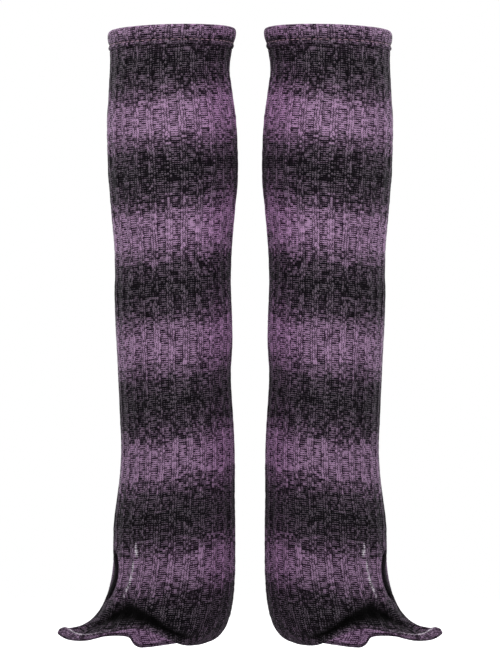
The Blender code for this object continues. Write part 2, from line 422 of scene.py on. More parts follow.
    def fold_rise(self, angle: Array, drop: Array) -> Array:
        """How far the creases lift the cloth at each place, or sink it where negative."""
        return sum(fold["rise"] * MM * self.crease_share(fold, angle, drop) for fold in self.folds)

    def edge_value(self, name: str, angle: Array) -> Array:
        """A value from the table of the foot's edge, at each angle."""
        return read(EDGES, EDGE_COLUMNS, name, np.degrees(angle), round_curve)

    def hollow_rise(self, angle: Array, above_hem: Array) -> Array:
        """How far the cloth sinks in the hollow that runs along the near side, over the foot hem.

        Args:
            angle: angles round the leg.
            above_hem: distances up the columns from the hem's edge, in the same shape.

        Returns:
            The rise at each place, negative in the hollow.
        """
        above, width, rise = (self.edge_value(name, angle) * MM for name in EDGE_COLUMNS[1:4])
        depth = np.exp(-((above_hem - above) / width) ** 2)
        return rise * depth * np.clip(above_hem / above, 0, 1)

    def far_share(self, angle: Array) -> Array:
        """How far round the back each column lies: 1 there, fading to the front and the heel."""
        turn = np.mod(np.degrees(angle), 360)
        return progress(turn, *self.front_turn) * progress(turn, *self.heel_turn)

    def painted_light(self, angle: Array, drop: Array, hollow: Array) -> Array:
        """How the creases and the hollow over the foot hem paint light and shade on the cloth.

        Args:
            angle: angles round the leg.
            drop: drops, in the same shape.
            hollow: how far the hollow over the foot hem sinks there.

        Returns:
            The painted light at each place: up to 1 for a painted highlight, down to -1 for painted
                shade.
        """
        # Painted highlights on the crests and painted shade in the tucks
        painted_light_mark = sum(fold["painted_light"] * self.crease_share(
            fold, angle, drop, self.tuck_edge if fold["painted_light"] < 0 else self.crest_edge)
            for fold in self.folds if fold["painted_light"])
        # The hollow over the foot hem adds painted shade as it sinks
        return np.clip(painted_light_mark + hollow / self.deepest_hollow, -1, 1)

    def surface(self, ribs: Array, hem_rows: tuple = ()) -> tuple[Array, Array, Array]:
        """The middle surface of tube and foot hem.

        Args:
            ribs: rib number of each column.
            hem_rows: shares of the hem's height at which it has rings, from 0 to 1.

        Returns:
            Points (rings, columns, 3), how far down its column each lies, and its painted light and
            shade.
        """
        angle = self.angle(ribs)
        top = self.casing_foot_drop + self.seam_gap
        drops = np.linspace(top, self.ankle_drop, self.leg_rings + 1)[:-1, None]
        drops = drops * np.ones_like(angle)
        leg = self.leg_points(angle + self.twist(drops), drops)
        in_foot = np.linspace(0, 1, self.foot_rings + 1)
        foot, distances, lengths = self.foot_columns(
            angle, np.concatenate([in_foot, 1 + np.array(hem_rows)]))
        rings = np.concatenate([leg, foot])
        travelled = np.concatenate([drops, self.ankle_drop + distances])
        drop = -rings[..., 2]
        turned = angle + self.twist(drop)
        hollow = self.hollow_rise(turned, self.ankle_drop + lengths - travelled)
        uneven = np.random.default_rng(self.uneven_seed).standard_normal(drop.shape)
        uneven = (uneven + np.roll(uneven, 1, axis=0) + np.roll(uneven, 1, axis=1)) / 3
        if hem_rows:
            uneven[-len(hem_rows):] *= self.hem_unevenness
        rise = self.fold_rise(turned, drop) + hollow + self.unevenness * uneven
        points = rings + outward(rings) * rise[..., None]
        return points, travelled, self.painted_light(turned, drop, hollow)


class RingMesh:
    """A closed wall made of rings of points, joined in turn and back to the first ring."""

    def __init__(self, ribs: Array) -> None:
        """Starts with no rings, for columns at these rising rib numbers."""
        self.ribs = ribs
        self.rings: list[tuple] = []

    def add(self, points: Array, courses: Array, painted_lights: Array, leads: Array, slot: int = 0,
            lean: float | Array = 0.0) -> None:
        """Adds rings in order.

        Args:
            points: their points (rings, columns, 3).
            courses: the course of each point.
            painted_lights: the painted light and shade of each point.
            leads: how far the dye runs ahead of the course at each point.
            slot: the material slot of the faces that follow each ring.
            lean: how many ribs each point's pattern is shifted by.
        """
        leans = lean + np.zeros_like(courses)
        self.rings.extend(zip(points, courses, painted_lights, leads, leans, [slot] * len(points)))

    def build(self, name: str, mirrored: bool) -> bpy.types.Object:
        """Makes the mesh object.

        Args:
            name: the piece's name.
            mirrored: whether the piece is turned into its mirror image.

        Returns:
            The new object, smooth shaded and with its UV map.
        """
        points, courses, painted_lights, leads, leans, slots = map(np.array, zip(*self.rings))
        rings, columns = courses.shape
        if mirrored:
            points = points * (-1, 1, 1)
        ring, place = np.meshgrid(np.arange(rings), np.arange(columns), indexing="ij")
        after, follow = (ring + 1) % rings, (place + 1) % columns
        corners = [(ring, place, place), (after, place, place),
                   (after, follow, place + 1), (ring, follow, place + 1)]
        if mirrored:
            corners.reverse()
        faces = np.stack([row * columns + at for row, at, _ in corners], axis=-1).reshape(-1, 4)
        turned = np.append(self.ribs, GAUGE.ribs)
        uv = np.stack([np.stack([turned[step] + leans[row, at], courses[row, at]], axis=-1)
                       for row, at, step in corners], axis=2)
        mesh = bpy.data.meshes.new(name)
        mesh.from_pydata(points.reshape(-1, 3), [], faces.tolist())
        layer = mesh.uv_layers.new(name="Knit")
        layer.data.foreach_set("uv", uv.reshape(-1).astype(np.float32))
        # Point attributes: the painted light and shade, and the dye's lead
        for mark, values in (("Painted light and shade", painted_lights), ("Lead", leads)):
            attribute = mesh.attributes.new(mark, "FLOAT", "POINT")
            attribute.data.foreach_set("value", values.astype(np.float32).reshape(-1))
        mesh.polygons.foreach_set("material_index", np.repeat(slots, columns))
        mesh.shade_smooth()
        item = bpy.data.objects.new(name, mesh)
        bpy.context.scene.collection.objects.link(item)
        return item


def rib_ladder(steps: tuple) -> Array:
    """Rib numbers of the columns round a tube, at the same places within every rib."""
    return (np.arange(GAUGE.ribs)[:, None] + np.array(steps)).reshape(-1)


def level_way(angle: Array) -> Array:
    """The level way straight out from the leg's middle at each angle."""
    return np.stack([-np.cos(angle), -np.sin(angle), np.zeros_like(angle)], axis=-1)


def bell(value: Array, half: float, soft: float) -> Array:
    """A plateau of 1 round zero: half its width at half height, and the width of its edges."""
    t = np.clip((half + soft / 2 - np.abs(value)) / soft, 0, 1)
    return t * t * (3 - 2 * t)


@dataclass
class LegTube:
    """The ribbed leg tube: raised knit columns over a plain inside.

    Each wave is a length in mm and the turn by which it is shifted from rib to rib.
    """

    side: Side
    form: ClothForm
    steps: tuple = RIB_STEPS
    knit_half: float = 0.235
    knit_soft: float = 0.15
    inner_every: int = 5
    fade_ends: tuple = (610 * MM, 700 * MM)
    foot_relief: float = 0.45
    inner_relief: float = 0.7 * MM
    inner_lean: float = 1.2
    lean_from: float = 690 * MM
    lean_to: float = 740 * MM
    wobble: float = 0.02
    wobble_waves: tuple = ((9.1, 2.4), (23.0, 4.1))
    swell: float = 0.18
    swell_waves: tuple = ((14.3, 1.7), (31.0, 0.9))
    flat: tuple = (0.41, 0.735)

    def relief(self, ribs: Array, courses: Array) -> Array:
        """How far the ribs stand out, from 0 in a valley to 1 on top.

        Args:
            ribs: rib number of each column.
            courses: the course of each point.

        Returns:
            The relief of each point.
        """
        sways, swells = ([np.sin(courses / MM / length + shift * np.floor(ribs))
                          for length, shift in waves]
                         for waves in (self.wobble_waves, self.swell_waves))
        shape = bell(np.mod(ribs, 1.0) - 0.5 + self.wobble * sum(sways),
                     self.knit_half, self.knit_soft)
        fade = progress(courses, *self.fade_ends)
        return shape * (1 + self.swell * math.prod(swells)) * (1 - (1 - self.foot_relief) * fade)

    def build(self, outer: "KnitFinish", inner: "KnitFinish") -> bpy.types.Object:
        """Makes the tube, dresses it and puts it in its node's place.

        Args:
            outer: finish of the right side of the knit.
            inner: finish of its wrong side.

        Returns:
            The piece.
        """
        ribs = rib_ladder(self.steps)
        angle = self.form.angle(ribs)
        middle, travelled, painted_lights = self.form.surface(ribs)
        courses = self.form.course(angle, travelled)
        leads, inner_leads = (self.form.dye_lead(angle, courses, far)
                              for far in (self.form.far_share(angle), 1.0))
        normals = outward(middle)
        relief = self.relief(ribs, courses)
        out = GAUGE.wall / 2 + GAUGE.rib_rise * relief
        mesh = RingMesh(ribs)
        mesh.add(middle + normals * out[..., None], courses, painted_lights, leads)
        in_leg = np.arange(0, self.form.leg_rings, self.inner_every)
        kept = np.append(in_leg, np.arange(self.form.leg_rings, len(middle)))[::-1]
        inside = GAUGE.wall / 2 - self.inner_relief * relief
        lean = np.maximum(0.0, (travelled - self.lean_from) / (self.lean_to - self.lean_from))
        mesh.add((middle - normals * inside[..., None])[kept], courses[kept],
                 np.zeros_like(painted_lights[kept]), inner_leads[kept], 1, self.inner_lean * lean[kept])
        piece = mesh.build(f"ribbed_tube_{self.side.value}", self.side.mirrored)
        for finish in (outer, inner):
            piece.data.materials.append(finish.material())
        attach(piece, BODY)
        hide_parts(f"leg_tube_{self.side.value}")
        return piece


@dataclass
class Casing:
    """The turned elastic casing: a fat upper roll, a stitched groove and a small lower roll.

    The profile's rows are how far a ring stands out and how high it lies, in mm.
    """

    side: Side
    form: ClothForm
    steps: tuple = (0.0, 0.1, 0.2, 0.3, 0.4, 0.5, 0.6, 0.7, 0.8, 0.9)
    profile: tuple = (
        (-1.9, -15.4), (-1.9, -9.0), (-1.9, -3.0), (-2.2, 2.0), (-2.2, 6.2), (-1.6, 7.6),
        (-0.6, 8.2), (0.8, 8.2), (1.9, 7.6), (3.2, 5.8), (3.9, 3.2), (4.1, 0.0), (3.9, -3.6),
        (3.1, -6.8), (2.0, -8.8), (2.2, -10.0), (3.4, -11.6), (3.6, -13.0), (3.0, -14.4),
        (2.0, -15.3), (1.0, -15.5), (-0.6, -15.5),
    )
    rib_rise: float = 0.3 * MM
    rib_half: float = 0.24
    rib_soft: float = 0.2
    pucker: float = 0.35 * MM
    pucker_height: float = 2.2
    stitches: int = 96
    groove_height: float = -8.8
    groove_painted_shade: float = 0.7
    painted_shade_height: float = 0.8

    def build(self, finish: "KnitFinish") -> bpy.types.Object:
        """Makes the casing and puts it in its node's place.

        Args:
            finish: finish of the turned knit.

        Returns:
            The piece.
        """
        ribs = rib_ladder(self.steps)
        angle = self.form.angle(ribs)
        away = level_way(angle)
        knit = bell(np.mod(ribs, 1.0) - 0.5, self.rib_half, self.rib_soft)
        puckers = np.cos(ribs * math.tau * self.stitches / GAUGE.ribs)
        mesh = RingMesh(ribs)
        for out, height in self.profile:
            ring = self.form.leg_points(angle, np.full_like(angle, -height * MM))
            shown = 1.0 if out > 0 else 0.0
            off = height - self.groove_height
            near_groove = math.exp(-(off / self.pucker_height) ** 2)
            # Painted shade along the stitched groove, carried as negative painted light
            dark = shown * self.groove_painted_shade * math.exp(-(off / self.painted_shade_height) ** 2)
            lift = out * MM + shown * (self.rib_rise * (knit - 0.5)
                                       + self.pucker * near_groove * puckers)
            course = -height * MM - self.form.course_tilt * np.cos(angle)
            mesh.add((ring + away * lift[:, None])[None], course[None],
                     np.full_like(course, -dark)[None], np.zeros_like(course)[None])
        piece = mesh.build(f"turned_casing_{self.side.value}", self.side.mirrored)
        piece.data.materials.append(finish.material())
        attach(piece, BODY)
        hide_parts(f"casing_{self.side.value}")
        return piece


@dataclass
class CasingStitches:
    """The thread that holds the casing down: one row of stitches just under the groove."""

    side: Side
    form: ClothForm
    count: int = 64
    height: float = -9.7 * MM
    out: float = 2.5 * MM
    length: float = 4.6 * MM
    thickness: float = 0.9 * MM
    height_jitter: float = 0.25 * MM
    length_jitter: float = 0.18
    jitter_seed: int = 5
    aim_turn: float = math.radians(1)
    segments: int = 8
    rows: int = 6

    def build(self, finish: "ThreadFinish") -> bpy.types.Object:
        """Sews the row, each stitch a long thin bead that lies along the groove.

        Args:
            finish: finish of the thread.

        Returns:
            The piece.
        """
        angle = math.tau * (np.arange(self.count) + 0.5) / self.count
        chance = np.random.default_rng(self.jitter_seed).uniform(-1, 1, (self.count, 2))
        drop = np.full_like(angle, -self.height) + self.height_jitter * chance[:, 0]
        lengths = self.length * (1 + self.length_jitter * chance[:, 1])
        spots = self.form.leg_points(angle, drop) + level_way(angle) * self.out
        along = (self.form.leg_points(angle + self.aim_turn, drop)
                 - self.form.leg_points(angle - self.aim_turn, drop))
        mirror = (-1 if self.side.mirrored else 1, 1, 1)
        bpy.ops.object.select_all(action="DESELECT")
        for index, (spot, way) in enumerate(zip(spots * mirror, along * mirror)):
            bpy.ops.mesh.primitive_uv_sphere_add(
                segments=self.segments, ring_count=self.rows, radius=0.5, location=tuple(spot),
                rotation=(0, math.pi / 2, math.atan2(way[1], way[0])),
                scale=(self.thickness, self.thickness, lengths[index]))
            if index == 0:
                piece = bpy.context.object
                bpy.ops.object.mode_set(mode="EDIT")
        bpy.ops.mesh.select_all(action="SELECT")
        bpy.ops.mesh.faces_shade_smooth()
        bpy.ops.object.mode_set(mode="OBJECT")
        piece.name = piece.data.name = f"casing_stitches_{self.side.value}"
        bpy.ops.object.transform_apply(location=True, rotation=True, scale=True)
        piece.data.materials.append(finish.material())
        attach(piece, BODY)
        return piece


@dataclass
class FootHem:
    """The narrow rolled hem round the foot opening.

    The profile's rows are how far a ring stands out, in mm, and its share of the hem's height.
    """

    side: Side
    form: ClothForm
    steps: tuple = RIB_STEPS
    near_lead: float = 30 * MM
    near_turn: tuple = (120.0, 85.0)
    crest_share: float = 0.5
    crest_reach: float = 0.35
    profile: tuple = (
        (1.2, 0.0), (1.7, 0.2), (1.95, 0.45), (1.8, 0.72), (1.3, 0.92), (0.4, 1.0), (-0.5, 1.0),
        (-1.1, 0.9), (-1.4, 0.6), (-1.3, 0.25), (-1.1, 0.0),
    )

    def build(self, finish: "KnitFinish") -> bpy.types.Object:
        """Makes the hem on the cloth's last rings.

        Args:
            finish: finish of the rolled edge.

        Returns:
            The piece.
        """
        ribs = rib_ladder(self.steps)
        rows = tuple(sorted({share for _, share in self.profile}))
        angle = self.form.angle(ribs)
        middle, travelled, _ = self.form.surface(ribs, rows)
        courses = self.form.course(angle, travelled)
        near = progress(np.mod(np.degrees(angle), 360), *self.near_turn)
        leads = self.form.dye_lead(angle, courses, self.form.far_share(angle))
        leads = leads + self.near_lead * near
        normals = outward(middle)
        first = len(middle) - len(rows)
        painted_light_mark = self.form.edge_value("painted_light_mark", angle)
        mesh = RingMesh(ribs)
        for out, share in self.profile:
            at = first + rows.index(share)
            # Painted highlight along the hem's crest, on the outer rings only
            crest = math.exp(-((share - self.crest_share) / self.crest_reach) ** 2)
            mesh.add((middle[at] + normals[at] * out * MM)[None], courses[at][None],
                     (painted_light_mark * (crest if out > 0 else 0.0))[None], leads[at][None])
        piece = mesh.build(f"rolled_hem_{self.side.value}", self.side.mirrored)
        piece.data.materials.append(finish.material())
        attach(piece, BODY)
        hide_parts(f"foot_hem_{self.side.value}")
        return piece


def math_method(operation: str, swapped: bool = False) -> Callable:
    """Makes a method that adds a Math node to a wire.

    Args:
        operation: the node's operation.
        swapped: whether the wire is the second of its values.

    Returns:
        The method.
    """

    def method(wire: "Wire", *others: object) -> "Wire":
        """Adds the node, and gives what it puts out."""
        return wire.sheet.math(operation, *((*others, wire) if swapped else (wire, *others)))

    return method


class Wire:
    """A value that a node puts out. Reckoning with it adds Math nodes to its sheet."""

    __add__ = math_method("ADD")
    __sub__ = math_method("SUBTRACT")
    __rsub__ = math_method("SUBTRACT", swapped=True)
    __mul__ = math_method("MULTIPLY")
    __truediv__ = math_method("DIVIDE")
    __pow__ = math_method("POWER")
    __abs__ = math_method("ABSOLUTE")
    floor = math_method("FLOOR")
    part = math_method("FRACT")
    round = math_method("ROUND")
    sine = math_method("SINE")
    cosine = math_method("COSINE")

    def __init__(self, sheet: "NodeSheet", socket: bpy.types.NodeSocket) -> None:
        """Holds the output and the sheet that it is on."""
        self.sheet, self.socket = sheet, socket


class NodeSheet:
    """A node tree, with short ways to add nodes and to join them."""

    MIX_SOCKETS = {"FLOAT": (2, 3, 0), "VECTOR": (4, 5, 1), "RGBA": (6, 7, 2)}

    def __init__(self, tree: bpy.types.NodeTree) -> None:
        """Holds the tree."""
        self.tree = tree

    def add(self, kind: str, inputs: dict | None = None, **settings: object) -> bpy.types.Node:
        """Adds a node.

        Args:
            kind: the node's type.
            inputs: what its inputs are fed with, by name or number.
            settings: its properties.

        Returns:
            The node.
        """
        node = self.tree.nodes.new(kind)
        for name, value in settings.items():
            setattr(node, name, value)
        self.fill(node, inputs or {})
        return node

    def fill(self, node: bpy.types.Node, inputs: dict) -> None:
        """Joins values to a node's inputs, or sets the inputs where the values are plain.

        Args:
            node: the node.
            inputs: the values, by the input's name or number.
        """
        for name, value in inputs.items():
            if isinstance(value, Wire):
                self.tree.links.new(value.socket, node.inputs[name])
            else:
                node.inputs[name].default_value = value

    def wires(self, node: bpy.types.Node) -> dict:
        """A node's outputs, by name."""
        return {socket.name: Wire(self, socket) for socket in node.outputs}

    def output(self, kind: str, name: str | int, inputs: dict | None = None,
               **settings: object) -> Wire:
        """Adds a node as above, and gives one of its outputs, by name or number."""
        return Wire(self, self.add(kind, inputs, **settings).outputs[name])

    def math(self, operation: str, *values: object, clamp: bool = False) -> Wire:
        """A Math node.

        Args:
            operation: its operation.
            values: its inputs, in order.
            clamp: whether the result stays between 0 and 1.

        Returns:
            Its output.
        """
        return self.output("ShaderNodeMath", 0, dict(enumerate(values)), operation=operation,
                           use_clamp=clamp)

    def combine(self, *values: object) -> Wire:
        """A vector made of up to three numbers or values."""
        return self.output("ShaderNodeCombineXYZ", 0, dict(enumerate(values)))

    def separate(self, vector: Wire) -> tuple:
        """The three parts of a vector."""
        return tuple(self.wires(self.add("ShaderNodeSeparateXYZ", {0: vector})).values())

    def remap(self, value: Wire, low: float, high: float, to_low: float = 0.0,
              to_high: float = 1.0, kind: str = "SMOOTHSTEP") -> Wire:
        """A Map Range node.

        Args:
            value: what is mapped.
            low: the value that gives to_low.
            high: the value that gives to_high.
            to_low: the result at low.
            to_high: the result at high.
            kind: the interpolation.

        Returns:
            Its output.
        """
        return self.output("ShaderNodeMapRange", "Result", {
            "Value": value, "From Min": low, "From Max": high, "To Min": to_low,
            "To Max": to_high}, interpolation_type=kind)

    def chance(self, vector: Wire, seed: float = 0.0) -> Wire:
        """One random value from 0 to 1 for each value of a vector, and for each seed."""
        inputs = {"Vector": vector, "W": seed} if seed else {"Vector": vector}
        return self.output("ShaderNodeTexWhiteNoise", "Value", inputs,
                           noise_dimensions="4D" if seed else "3D")

    def random(self, *cell: object, seed: float) -> Wire:
        """One random value from 0 to 1 for each cell, given by one or two whole numbers."""
        return self.chance(self.combine(*cell, seed))

    def noise(self, vector: Wire, scale: float, detail: float = 1.0,
              roughness: float = 0.5) -> Wire:
        """A Noise texture.

        Args:
            vector: where it is read.
            scale: waves in each unit of length.
            detail: how many finer layers it has.
            roughness: how strong those are.

        Returns:
            Its value, about 0.5 on average.
        """
        return self.output("ShaderNodeTexNoise", "Fac", {
            "Vector": vector, "Scale": scale, "Detail": detail, "Roughness": roughness},
            noise_dimensions="3D")

    def mix(self, share: object, first: object, second: object, kind: str = "RGBA",
            way: str = "MIX") -> Wire:
        """A mix of two values, colours unless told otherwise.

        Args:
            share: how much of the second is used.
            first: the first value.
            second: the second value.
            kind: what the values are.
            way: the way they are mixed.

        Returns:
            The mixed value.
        """
        one, two, result = self.MIX_SOCKETS[kind]
        return self.output("ShaderNodeMix", result, {0: share, one: first, two: second},
                           data_type=kind, blend_type=way)

    def tint(self, colour: Wire, by: object) -> Wire:
        """A colour multiplied by another colour or by a number."""
        return self.mix(1.0, colour, by, way="MULTIPLY")

    def ramp(self, value: Wire, stops: tuple) -> Wire:
        """A grey ramp.

        Args:
            value: where the ramp is read, from 0 to 1.
            stops: rows of position and brightness.

        Returns:
            The brightness.
        """
        node = self.add("ShaderNodeValToRGB", {"Fac": value})
        band = node.color_ramp
        for index, (position, grey) in enumerate(stops):
            stop = band.elements[index] if index < 2 else band.elements.new(position)
            stop.position = position
            stop.color = (grey, grey, grey, 1)
        return Wire(self, node.outputs["Color"])

    def bump(self, distance: float, height: Wire, **normal: Wire) -> Wire:
        """A Bump node's normal, for a height in metres, a relief and perhaps a first Normal."""
        return self.output("ShaderNodeBump", "Normal",
                           {"Distance": distance, "Height": height, **normal})


class EffectGroup:
    """A shader node group that several finishes share, built once."""

    name = ""
    inputs: tuple = ()
    outputs: tuple = ()

    def tree(self) -> bpy.types.NodeTree:
        """The group's node tree, made at the first call."""
        found = bpy.data.node_groups.get(self.name)
        if found:
            return found
        tree = bpy.data.node_groups.new(self.name, "ShaderNodeTree")
        for name, kind, value in self.inputs:
            socket = tree.interface.new_socket(name=name, in_out="INPUT", socket_type=kind)
            if value is not None:
                socket.default_value = value
        for name, kind in self.outputs:
            tree.interface.new_socket(name=name, in_out="OUTPUT", socket_type=kind)
        sheet = NodeSheet(tree)
        given = sheet.wires(sheet.add("NodeGroupInput"))
        sheet.add("NodeGroupOutput", self.wire(sheet, given))
        return tree

    def wire(self, sheet: NodeSheet, given: dict) -> dict:
        """Lays out the group's nodes.

        Args:
            sheet: the group's tree.
            given: the group's input values, by name.

        Returns:
            The group's output values, by name.
        """
        raise NotImplementedError

    def place(self, sheet: NodeSheet, known: dict) -> dict:
        """Places the group in a material.

        Args:
            sheet: the material's tree.
            known: values by name, of which the group's inputs are fed with their own.

        Returns:
            What the group puts out, by name.
        """
        asked = {name: known[name] for name, *_ in self.inputs if name in known}
        return sheet.wires(sheet.add("ShaderNodeGroup", asked, node_tree=self.tree()))


FLOAT, VECTOR, COLOUR = "NodeSocketFloat", "NodeSocketVector", "NodeSocketColor"
BLACK = (0, 0, 0, 1)
PLACE_SOCKETS = (("Course", FLOAT, 0.0), ("Around", VECTOR, None), ("Column", FLOAT, 0.0),
                 ("Cell", VECTOR, None), ("Stitch", FLOAT, 0.5))
GRID_SOCKETS = (("Wale", FLOAT, 0.0), ("Row", FLOAT, 0.0), ("Knit", FLOAT, 0.0))


class KnitCoordinates(EffectGroup):
    """Turns the knit's UV map into wales and rows, and names the column and the yarn dash."""

    name = "Knit coordinates"
    inputs = (("UV", VECTOR, None),)
    outputs = (("Course", FLOAT), ("Around", VECTOR), ("Column", FLOAT), ("Cell", VECTOR),
               ("Stitch", FLOAT), ("Wale", FLOAT), ("Row", FLOAT), ("Knit", FLOAT),
               ("Valley", FLOAT))
    dip = 2.0
    dip_scale = 0.05
    sway = 0.08
    sway_scale = 0.09
    jog = 0.07
    knit_edge = (0.265, 0.24)
    valley_at = 0.25
    valley_edge = (0.05, 0.0)
    dash_wales = 1.9
    knit_wales = 2.0
    knit_rows = 2.6
    dash_shift = 5.0

    def wire(self, sheet: NodeSheet, given: dict) -> dict:
        """Lays out the courses in millimetres, a round coordinate, and the stitch grid."""
        rib, course, _ = sheet.separate(given["UV"])
        course = course * (1 / MM)
        turn = rib * (math.tau / GAUGE.ribs)
        around = sheet.combine(turn.cosine() * GAUGE.radius_mm, turn.sine() * GAUGE.radius_mm,
                               course)
        dip = (sheet.noise(around, self.dip_scale) - 0.5) * self.dip
        row = (course + dip) / (GAUGE.course / MM)
        bar = row.floor()
        sway = (sheet.noise(around, self.sway_scale) - 0.5) * self.sway
        jog = sheet.random((rib * 2.0).round(), bar, seed=9.0) - 0.5
        swayed = jog * self.jog + (rib + sway)
        wale = swayed * float(GAUGE.wales_per_rib) + 0.5
        off = abs(swayed.part() - 0.5)
        knit = sheet.remap(off, *self.knit_edge)
        line = (wale / self.knit_wales).floor()
        along_bar = sheet.random(bar, seed=11.0) * self.dash_shift + wale
        along_line = sheet.random(line, seed=12.0) * self.dash_shift + row
        purl_dash = sheet.combine((along_bar / self.dash_wales).floor(), bar, 2.0)
        knit_dash = sheet.combine(line, (along_line / self.knit_rows).floor(), 1.0)
        in_knit = sheet.math("GREATER_THAN", knit, 0.5)
        return {
            "Course": course,
            "Around": around,
            "Column": (swayed * 2.0 + 0.5).floor(),
            "Cell": sheet.mix(in_knit, purl_dash, knit_dash, "VECTOR"),
            "Stitch": sheet.random(wale.floor(), bar, seed=5.0),
            "Wale": wale,
            "Row": row,
            "Knit": knit,
            "Valley": sheet.remap(abs(off - self.valley_at), *self.valley_edge),
        }


class StitchRelief(EffectGroup):
    """Relief of the stitches: slanting legs on the knit columns, rows of arcs between them."""

    name = "Stitch relief"
    inputs = GRID_SOCKETS
    outputs = (("Height", FLOAT),)
    arc = 0.45
    leg = 0.55
    slant = 0.8

    def wire(self, sheet: NodeSheet, given: dict) -> dict:
        """Lays out the two kinds of stitch and mixes them by column."""
        wave = (given["Row"] * math.tau).cosine()
        between = (given["Wale"] * math.tau).cosine()
        purl = wave * (between * -self.arc + (1 - self.arc))
        size = abs(given["Wale"].part() * 2.0 - 1.0)
        slant = (size * -self.slant + given["Row"]) * math.tau
        knit = slant.cosine() * self.leg + between * (self.leg - 1)
        return {"Height": sheet.mix(given["Knit"], purl, knit, "FLOAT") * 0.5 + 0.5}


def block_chance(sheet: NodeSheet, given: dict, length: float, lag_seed: float,
                 seed: float) -> Wire:
    """One random value for each block of stitches in a column of knit.

    Args:
        sheet: the group's tree.
        given: the group's input values, by name.
        length: the length of a block, in millimetres.
        lag_seed: the seed of each column's lag, so that blocks don't line up side by side.
        seed: the seed of the values.

    Returns:
        The value, from 0 to 1.
    """
    lag = sheet.random(given["Column"], seed=lag_seed) * length
    block = ((given["Course"] + lag) / length).floor()
    return sheet.random(given["Column"], block, seed=seed)


class SpaceDye(EffectGroup):
    """How light the dyed yarn is, in steps that repeat down the knit and break up on the ribs."""

    name = "Space dye"
    inputs = (*PLACE_SOCKETS, ("Lead", FLOAT, 0.0), ("Darkest", FLOAT, 34.0),
              ("Period", FLOAT, 134.0))
    outputs = (("Tone", FLOAT),)
    block = 10.0
    block_shift = 9.0
    slow_shift = 5.0
    slow_scale = 0.03
    dash_shift = 3.0
    scatter = 1.7
    steps = ((0.0, 0.0), (0.025, 0.0), (0.035, 0.14), (0.185, 0.18), (0.195, 0.4), (0.29, 0.46),
             (0.3, 0.74), (0.345, 0.82), (0.355, 1.0), (0.625, 1.0), (0.635, 0.6), (0.755, 0.5),
             (0.765, 0.2), (0.9, 0.14), (0.91, 0.0), (1.0, 0.0))

    def wire(self, sheet: NodeSheet, given: dict) -> dict:
        """Lays out the repeat, with its steps shifted differently in each block of stitches."""
        course = given["Lead"] * (1 / MM) + given["Course"]
        for value, reach in (
            (block_chance(sheet, given, self.block, 3.0, 1.0), self.block_shift),
            (sheet.noise(given["Around"], self.slow_scale), self.slow_shift),
            (sheet.chance(given["Cell"]), self.dash_shift),
        ):
            course = course + (value - 0.5) * reach
        phase = (course - given["Darkest"]) / given["Period"]
        tone = sheet.ramp(phase.part(), self.steps)
        mixed = tone * (1.0 - tone) * self.scatter
        stray = given["Stitch"] - 0.5
        return {"Tone": sheet.math("MULTIPLY_ADD", stray, mixed, tone, clamp=True)}


